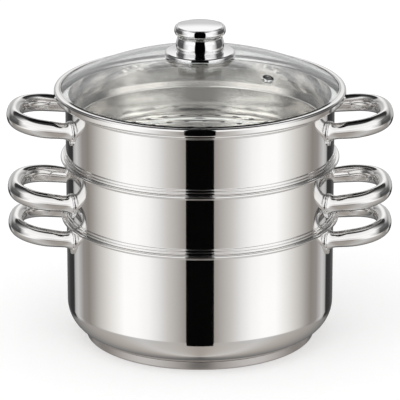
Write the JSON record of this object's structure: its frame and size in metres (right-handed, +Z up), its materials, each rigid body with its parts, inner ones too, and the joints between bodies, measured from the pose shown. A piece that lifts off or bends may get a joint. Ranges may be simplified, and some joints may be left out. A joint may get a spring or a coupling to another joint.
{
  "type": "steamer pot",
  "caption": "Stacking stainless steel steamer pot: a pot with looped side handles, perforated steamer tiers seated on its rim, and a domed glass lid with a knob.",
  "frame": {"origin": "centre of the base on the surface that the pot stands on", "axes": "+Z up through the lid's knob, +X towards the right-hand handles"},
  "size_m": [0.3966, 0.299, 0.3306],
  "materials": {
    "polished_steel": "bright polished stainless steel",
    "mirror_steel": "mirror polished stainless steel",
    "satin_steel": "satin stainless steel",
    "base_aluminium": "plain, enclosed",
    "lid_glass": "clear tempered glass",
    "silicone": "translucent white silicone"
  },
  "bodies": {
    "pot": {"pot_body": "polished_steel", "pot_base_core": "base_aluminium", "pot_base_cap": "satin_steel", "pot_handle_left": "mirror_steel", "pot_handle_left_plates": "mirror_steel", "pot_handle_right": "mirror_steel", "pot_handle_right_plates": "mirror_steel"},
    "middle_tier": {"middle_ring": "polished_steel", "middle_basket_wall": "satin_steel", "middle_steam_plate": "satin_steel", "middle_handle_left": "mirror_steel", "middle_handle_left_plates": "mirror_steel", "middle_handle_right": "mirror_steel", "middle_handle_right_plates": "mirror_steel"},
    "top_tier": {"top_ring": "polished_steel", "top_basket_wall": "satin_steel", "top_steam_plate": "satin_steel", "top_handle_left": "mirror_steel", "top_handle_left_plates": "mirror_steel", "top_handle_right": "mirror_steel", "top_handle_right_plates": "mirror_steel"},
    "lid": {"lid_glass": "lid_glass", "lid_rim_band": "polished_steel", "steam_vent_eyelet": "mirror_steel", "knob_flange": "mirror_steel", "knob_body": "mirror_steel", "knob_cap": "mirror_steel", "knob_insert": "satin_steel", "knob_screw": "polished_steel", "knob_washer": "polished_steel", "knob_seal": "silicone"}
  },
  "joints": [
    {"name": "middle_tier_lift", "type": "slide", "parent": "pot", "child": "middle_tier", "axis": [0, 0, 1], "range_m": [0, 0.037]},
    {"name": "top_tier_lift", "type": "slide", "parent": "middle_tier", "child": "top_tier", "axis": [0, 0, 1], "range_m": [0, 0.05]},
    {"name": "lid_lift", "type": "slide", "parent": "top_tier", "child": "lid", "axis": [0, 0, 1], "range_m": [0, 0.06]}
  ]
}
